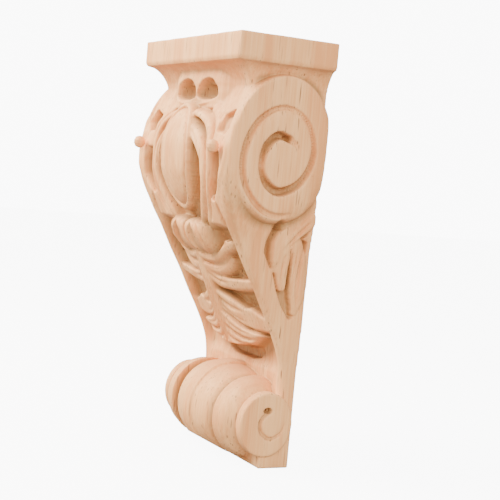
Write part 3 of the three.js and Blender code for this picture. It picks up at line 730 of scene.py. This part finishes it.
def grain_group():
    """Upright grain of a close-grained hardwood: soft streaks and short dark pore lines."""
    tree = bpy.data.node_groups.new("Long grain", "ShaderNodeTree")
    for name, default in (("Pore depth", 1.0), ("Streak strength", 1.0)):
        socket = tree.interface.new_socket(name, in_out="INPUT", socket_type="NodeSocketFloat")
        socket.default_value = default
    for name in ("Streak", "Pores", "Relief"):
        tree.interface.new_socket(name, in_out="OUTPUT", socket_type="NodeSocketFloat")
    given = node(tree, "NodeGroupInput", (-1400, 0))
    out = node(tree, "NodeGroupOutput", (900, 0))
    wide = node(tree, "ShaderNodeTexNoise", (-700, 400), Scale=1.0, Detail=3.0, Roughness=0.55)
    tree.links.new(stretched(tree, (-900, 400), (55, 55, 5)), wide.inputs["Vector"])
    fine = node(tree, "ShaderNodeTexNoise", (-700, 150), Scale=1.0, Detail=4.0, Roughness=0.6)
    tree.links.new(stretched(tree, (-900, 150), (520, 520, 16)), fine.inputs["Vector"])
    streak = math_node(tree, "ADD", (-300, 300), math_node(
        tree, "MULTIPLY", (-500, 400), wide.outputs["Fac"], 0.6), math_node(
        tree, "MULTIPLY", (-500, 200), fine.outputs["Fac"], 0.4))
    streak = math_node(tree, "SUBTRACT", (-150, 300), streak, 0.5)
    streak = math_node(tree, "MULTIPLY", (0, 300), streak, given.outputs["Streak strength"])
    pore = node(tree, "ShaderNodeTexVoronoi", (-700, -150), Scale=1.0, Randomness=1.0)
    tree.links.new(stretched(tree, (-900, -150), (460, 460, 30)), pore.inputs["Vector"])
    near = ramp(tree, pore.outputs["Distance"], (-450, -150), 0.32, 0.17)
    pick = node(tree, "ShaderNodeSeparateColor", (-450, -350))
    tree.links.new(pore.outputs["Color"], pick.inputs["Color"])
    chosen = ramp(tree, pick.outputs["Red"], (-250, -350), 0.45, 0.62)
    patch = ramp(tree, wide.outputs["Fac"], (-250, -550), 0.38, 0.62)
    pores = math_node(tree, "MULTIPLY", (-50, -200), near, chosen)
    pores = math_node(tree, "MULTIPLY", (100, -250), pores, patch)
    pores = math_node(tree, "MULTIPLY", (250, -250), pores, given.outputs["Pore depth"])
    relief = math_node(tree, "SUBTRACT", (450, -50), math_node(
        tree, "MULTIPLY", (250, 50), fine.outputs["Fac"], 0.35), pores)
    tree.links.new(streak, out.inputs["Streak"])
    tree.links.new(pores, out.inputs["Pores"])
    tree.links.new(relief, out.inputs["Relief"])
    return tree


def colour(value):
    return (*value, 1.0)


def wood_material(name, finish, grain, sawn):
    """Bare wood: grain, darker end grain, painted shade in the recesses, painted highlight on the
    arrises; sawn adds the saw's marks.
    """
    material = bpy.data.materials.new(name)
    material.use_nodes = True
    tree = material.node_tree
    shader = tree.nodes["Principled BSDF"]
    shader.inputs["Specular IOR Level"].default_value = 0.28
    group = node(tree, "ShaderNodeGroup", (-900, 100))
    group.node_tree = grain
    group.inputs["Pore depth"].default_value = 0.8 if sawn else 1.0
    group.inputs["Streak strength"].default_value = 1.0
    streaked = math_node(tree, "ADD", (-700, 300), math_node(
        tree, "MULTIPLY", (-850, 400), group.outputs["Streak"], STREAK_CONTRAST), 0.5, True)
    facing = node(tree, "ShaderNodeNewGeometry", (-1100, -200))
    parts = node(tree, "ShaderNodeSeparateXYZ", (-900, -200))
    tree.links.new(facing.outputs["Normal"], parts.inputs["Vector"])
    upright = math_node(tree, "ABSOLUTE", (-720, -200), parts.outputs["Z"])
    end = ramp(tree, upright, (-560, -200), 0.55, 0.98)
    # painted shade: this attribute darkens the colour in the carved recesses, where shade falls
    hollow_shade = node(tree, "ShaderNodeAttribute", (-900, -450), attribute_name="hollow_shade")
    shade_amount = ramp(tree, hollow_shade.outputs["Fac"], (-700, -450), 0.08, 0.75)
    # painted highlight: this attribute lightens the colour along the convex edges
    arris_highlight = node(tree, "ShaderNodeAttribute", (-900, -700), attribute_name="arris")
    edge = ramp(tree, arris_highlight.outputs["Fac"], (-700, -700), 0.25, 0.9)
    base = mixed(tree, (-500, 300), streaked, colour(finish.shade), colour(finish.light))
    # pores and end grain are the wood's own colour; the recess line multiplies in painted shade, the edge
    # line lays on a painted highlight
    for at, mask, strength, tone, blend in (
            (-320, group.outputs["Pores"], PORE_DARKNESS, finish.pore, "MIX"),
            (-140, end, SAWN_END_DARKNESS if sawn else CARVED_END_DARKNESS, finish.end_grain, "MIX"),
            (40, shade_amount, finish.hollow_shade_strength, finish.hollow_shade, "MULTIPLY"),
            (220, edge, ARRIS_HIGHLIGHT, finish.arris_highlight, "MIX")):
        part = math_node(tree, "MULTIPLY", (at - 90, 120), mask, strength)
        base = mixed(tree, (at, 300), part, base, colour(tone), blend)
    tree.links.new(base, shader.inputs["Base Color"])
    rough = math_node(tree, "ADD", (40, -100), math_node(
        tree, "MULTIPLY", (-140, -100), end, 0.14), finish.roughness)
    rough = math_node(tree, "SUBTRACT", (220, -100), rough, math_node(
        tree, "MULTIPLY", (40, -250), edge, 0.06))
    tree.links.new(rough, shader.inputs["Roughness"])
    height = group.outputs["Relief"]
    if sawn:
        marks = node(tree, "ShaderNodeTexWave", (-500, -950), Scale=230.0, Distortion=1.6, Detail=2.0)
        marks.bands_direction = "Z"
        rise, strength = marks.outputs["Fac"], 0.5
    else:
        marks = node(tree, "ShaderNodeTexNoise", (-500, -950), Scale=260.0, Detail=2.0)
        rise = math_node(tree, "MULTIPLY", (-400, -1050), marks.outputs["Fac"], end)
        strength = 0.8
    place = node(tree, "ShaderNodeTexCoord", (-700, -950))
    tree.links.new(place.outputs["Object"], marks.inputs["Vector"])
    height = math_node(tree, "ADD", (-100, -800), height, math_node(
        tree, "MULTIPLY", (-300, -950), rise, strength))
    bump = node(tree, "ShaderNodeBump", (220, -500), Strength=0.5, Distance=0.0004)
    tree.links.new(height, bump.inputs["Height"])
    tree.links.new(bump.outputs["Normal"], shader.inputs["Normal"])
    return material


def floor_material(finish, glow):
    """Pale paper that looks as bright as the surround to the camera alone."""
    material = bpy.data.materials.new("Studio paper")
    material.use_nodes = True
    shader = material.node_tree.nodes["Principled BSDF"]
    shader.inputs["Base Color"].default_value = colour(finish.floor)
    shader.inputs["Roughness"].default_value = 0.9
    shader.inputs["Specular IOR Level"].default_value = 0.1
    shader.inputs["Emission Color"].default_value = (1, 1, 1, 1)
    tree = material.node_tree
    seen = tree.nodes.new("ShaderNodeLightPath")
    shine = math_node(tree, "MULTIPLY", (-200, -300), seen.outputs["Is Camera Ray"], glow)
    tree.links.new(shine, shader.inputs["Emission Strength"])
    return material


class CorbelShape(bpy.types.PropertyGroup):
    pitch: bpy.props.FloatProperty(
        name="Carving pitch", description="Spacing of the grid that the carving is worked out on, in mm",
        default=0.9, min=0.6, max=3.0)
    faces: bpy.props.IntProperty(
        name="Triangles", description="Most triangles that the finished carving may have",
        default=190000, min=20000, max=198000)


def tint(name, description, default):
    return bpy.props.FloatVectorProperty(
        name=name, description=description, default=default, subtype="COLOR", min=0, max=1)


class CorbelFinish(bpy.types.PropertyGroup):
    light: tint("Light wood", "Pale colour between the streaks", (0.985, 0.53, 0.218))
    shade: tint("Streaked wood", "Deeper colour of the grain streaks", (0.83, 0.362, 0.127))
    pore: tint("Pores", "Colour of the short dark pore lines", (0.26, 0.105, 0.045))
    end_grain: tint("End grain", "Colour of faces cut across the grain", (0.56, 0.26, 0.11))
    # painted shade: tint multiplied into the recesses, and how strongly it shows
    hollow_shade: tint("Hollows", "Tint of the carved recesses", (0.50, 0.54, 0.53))
    hollow_shade_strength: bpy.props.FloatProperty(
        name="Hollow strength", description="How strongly the recesses are tinted",
        default=0.85, min=0, max=1, subtype="FACTOR")
    # painted highlight: lighter colour laid along the convex edges
    arris_highlight: tint("Worn arris", "Lighter colour along the edges", (1.0, 0.64, 0.34))
    roughness: bpy.props.FloatProperty(
        name="Roughness", description="Roughness of the bare sanded wood",
        default=0.62, min=0, max=1, subtype="FACTOR")
    floor: tint("Floor", "Colour of the studio floor", (0.26, 0.26, 0.26))


class CorbelStudio(bpy.types.PropertyGroup):
    key: bpy.props.FloatProperty(
        name="Key light", description="Power of the large soft light at the front left",
        default=62.0, min=0, unit="POWER")
    fill: bpy.props.FloatProperty(
        name="Fill light", description="Power of the soft light at the right",
        default=30.0, min=0, unit="POWER")
    world: bpy.props.FloatProperty(
        name="Surround", description="Brightness of the white surround", default=0.95, min=0)
    backdrop: bpy.props.FloatProperty(
        name="Backdrop", description="How much brighter the surround looks than it lights",
        default=9.0, min=0)


class OBJECT_OT_corbel_carving(bpy.types.Operator):
    """Carve the whole corbel from one block of wood"""
    bl_idname = "object.corbel_carving"
    bl_label = "Carve corbel"

    def execute(self, context):
        shape, finish = context.scene.corbel_shape, context.scene.corbel_finish
        pitch = shape.pitch
        half, origin, level = carve(pitch)
        whole = np.concatenate([half[:0:-1][:-1], half], axis=0)
        first_x = -(half.shape[0] - 1.5) * pitch
        start = (first_x, origin[1], origin[2])
        points, quads = skin(whole, start, pitch)
        # amounts of wood nearby, blurred, which set the painted shade in recesses and the painted
        # highlight on edges
        wood = (whole < 0).astype(np.float32)
        near_fill = box_blur(box_blur(wood, round(1.2 / pitch)), round(1.8 / pitch))
        far_fill = box_blur(box_blur(wood, round(4.5 / pitch)), round(4.5 / pitch))
        metres = np.stack([points[:, 0], -points[:, 1], points[:, 2] - WALL_TO_BOTTOM], 1) / 1000
        rough = mesh_of("Corbel_rough", metres, quads[:, ::-1])
        piece = bpy.data.objects.new("Corbel_carving", rough)
        context.scene.collection.objects.link(piece)
        fewer = piece.modifiers.new("Fewer faces", "DECIMATE")
        fewer.ratio = min(1.0, shape.faces * 0.78 / (2.0 * len(quads)))
        context.view_layer.update()
        mesh = bpy.data.meshes.new_from_object(
            piece.evaluated_get(context.evaluated_depsgraph_get()))
        piece.modifiers.clear()
        piece.data = mesh
        bpy.data.meshes.remove(rough)
        mesh.name = "Corbel_carving"
        refine(mesh, shape.faces)
        place = triples(mesh.vertices, "co").astype(float) * 1000
        there = np.stack([place[:, 0], -place[:, 1], place[:, 2] + WALL_TO_BOTTOM], 1)
        near = sampled(near_fill, start, pitch, there)
        far = sampled(far_fill, start, pitch, there)
        open_side = np.clip(there[:, 1] / 6, 0, 1)
        # painted shade: how much the recesses are darkened, from their depth below the carving around
        # them and how closed in they are
        carved_part = np.clip((HEIGHT - SLAB_HEIGHT - 2 - there[:, 2]) / 3, 0, 1)
        shade_amount = carved_part * np.maximum(
            cut_depth(level, origin, pitch, there),
            np.maximum(0.6 * np.clip((far - 0.54) / 0.26, 0, 1), np.clip((near - 0.60) / 0.26, 0, 1)))
        # attributes: painted shade for the recesses, and a painted highlight along the convex edges
        for name, value in (("hollow_shade", shade_amount * open_side),
                            ("arris", np.clip((0.5 - near) / 0.3, 0, 1) * open_side)):
            layer = mesh.attributes.new(name, "FLOAT", "POINT")
            layer.data.foreach_set("value", value.astype(np.float32))
        grain = grain_group()
        mesh.materials.append(wood_material("Carved wood", finish, grain, False))
        mesh.materials.append(wood_material("Sawn wood", finish, grain, True))
        normals, centres = triples(mesh.polygons, "normal"), triples(mesh.polygons, "center") * 1000
        flat_back = (normals[:, 1] > 0.95) & (centres[:, 1] > -0.5)
        flat_top = (normals[:, 2] > 0.95) & (centres[:, 2] > WALL_TO_BOTTOM - 0.8)
        flat_foot = (normals[:, 2] < -0.8) & (centres[:, 2] < -WALL_TO_BOTTOM + 32)
        sawn = (flat_back | flat_top | flat_foot).astype(np.int32)
        mesh.polygons.foreach_set("material_index", sawn)
        mesh.polygons.foreach_set("use_smooth", np.ones(len(mesh.polygons), bool))
        mesh.update()
        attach(piece, "root")
        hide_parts("corbel")
        return {"FINISHED"}


class OBJECT_OT_corbel_stage(bpy.types.Operator):
    """Set up the floor, the soft lights and the camera"""
    bl_idname = "object.corbel_stage"
    bl_label = "Set stage"

    def execute(self, context):
        finish, studio = context.scene.corbel_finish, context.scene.corbel_studio
        half, low = 4.0, -WALL_TO_BOTTOM / 1000 - 0.0005
        mesh = bpy.data.meshes.new("Studio_floor")
        mesh.from_pydata([(-half, -half, low), (half, -half, low), (half, half, low), (-half, half, low)],
                         [], [(0, 1, 2, 3)])
        floor = bpy.data.objects.new("Studio_floor", mesh)
        mesh.materials.append(floor_material(finish, studio.backdrop))
        context.scene.collection.objects.link(floor)
        self.lights(context, studio)
        self.camera(context)
        return {"FINISHED"}

    def lights(self, context, studio):
        world = bpy.data.worlds.new("Studio")
        world.use_nodes = True
        sky = world.node_tree.nodes["Background"]
        sky.inputs["Color"].default_value = (1, 1, 1, 1)
        seen = world.node_tree.nodes.new("ShaderNodeLightPath")
        glow = math_node(
            world.node_tree, "MULTIPLY", (-400, 0), seen.outputs["Is Camera Ray"], studio.backdrop)
        strength = math_node(world.node_tree, "ADD", (-200, 0), glow, studio.world)
        world.node_tree.links.new(strength, sky.inputs["Strength"])
        context.scene.world = world
        for name, power, size, place, target in (
                ("Key", studio.key, 0.8, (-0.5, -0.9, 0.95), (0, -0.05, 0.05)),
                ("Fill", studio.fill, 1.4, (1.6, -0.5, 0.5), (0, -0.05, 0)),
                ("Top", studio.fill * 0.3, 1.0, (0.1, -0.2, 1.5), (0, -0.05, 0))):
            light = bpy.data.lights.new(name, "AREA")
            light.energy, light.size = power, size
            light.color = (1.0, 0.93, 0.85)
            lamp = bpy.data.objects.new(name, light)
            lamp.location = place
            aim = Vector(target) - Vector(place)
            lamp.rotation_euler = aim.to_track_quat("-Z", "Y").to_euler()
            context.scene.collection.objects.link(lamp)

    def camera(self, context):
        """Camera at the photograph's viewing angle, worked out in heights of the block."""
        focal, centre, tall = 1235.6, Vector((0, -0.15, 0.5)), HEIGHT / 1000
        turn, lift, roll = math.radians(63.0), math.radians(3.743), math.radians(5.234)
        away = Vector((-0.09745, -0.00868, 3.0295))
        right = Vector((math.cos(turn), math.sin(turn), 0))
        back = Vector((math.sin(turn) * math.cos(lift), -math.cos(turn) * math.cos(lift), math.sin(lift)))
        up = back.cross(right)
        level = Matrix((right, -up, -back))
        tilt = Matrix.Rotation(roll, 3, "Z")
        view = tilt @ level
        place = (centre - view.transposed() @ away) * tall
        place.z -= tall / 2
        axes = Matrix((view.row[0], -view.row[1], -view.row[2])).transposed()
        lens = bpy.data.cameras.new("Camera")
        lens.sensor_fit, lens.sensor_width = "AUTO", 36.0
        lens.lens = lens.sensor_width * focal / 500
        lens.clip_start, lens.clip_end = 0.05, 30
        camera = bpy.data.objects.new("Camera", lens)
        camera.matrix_world = Matrix.Translation(place) @ axes.to_4x4()
        context.scene.collection.objects.link(camera)
        context.scene.camera = camera


class VIEW3D_PT_corbel(bpy.types.Panel):
    """Sizes, colours and steps of the corbel"""
    bl_label = "Carved corbel"
    bl_idname = "VIEW3D_PT_corbel"
    bl_space_type = "VIEW_3D"
    bl_region_type = "UI"
    bl_category = "Corbel"

    def draw(self, context):
        for group in GROUPS:
            settings, box = getattr(context.scene, group), self.layout.box()
            for name in settings.bl_rna.properties.keys():
                if name not in ("rna_type", "name"):
                    box.prop(settings, name)
        for operator in (OBJECT_OT_corbel_carving, OBJECT_OT_corbel_stage):
            self.layout.operator(operator.bl_idname)


GROUPS = {"corbel_shape": CorbelShape, "corbel_finish": CorbelFinish, "corbel_studio": CorbelStudio}
CLASSES = (*GROUPS.values(), OBJECT_OT_corbel_carving, OBJECT_OT_corbel_stage, VIEW3D_PT_corbel)


def register():
    for item in CLASSES:
        bpy.utils.register_class(item)
    for name, group in GROUPS.items():
        setattr(bpy.types.Scene, name, bpy.props.PointerProperty(type=group))


def unregister():
    for name in GROUPS:
        delattr(bpy.types.Scene, name)
    for item in reversed(CLASSES):
        bpy.utils.unregister_class(item)


def main():
    register()
    bpy.ops.object.corbel_stage()
    bpy.ops.object.corbel_carving()


if __name__ == "__main__":
    main()
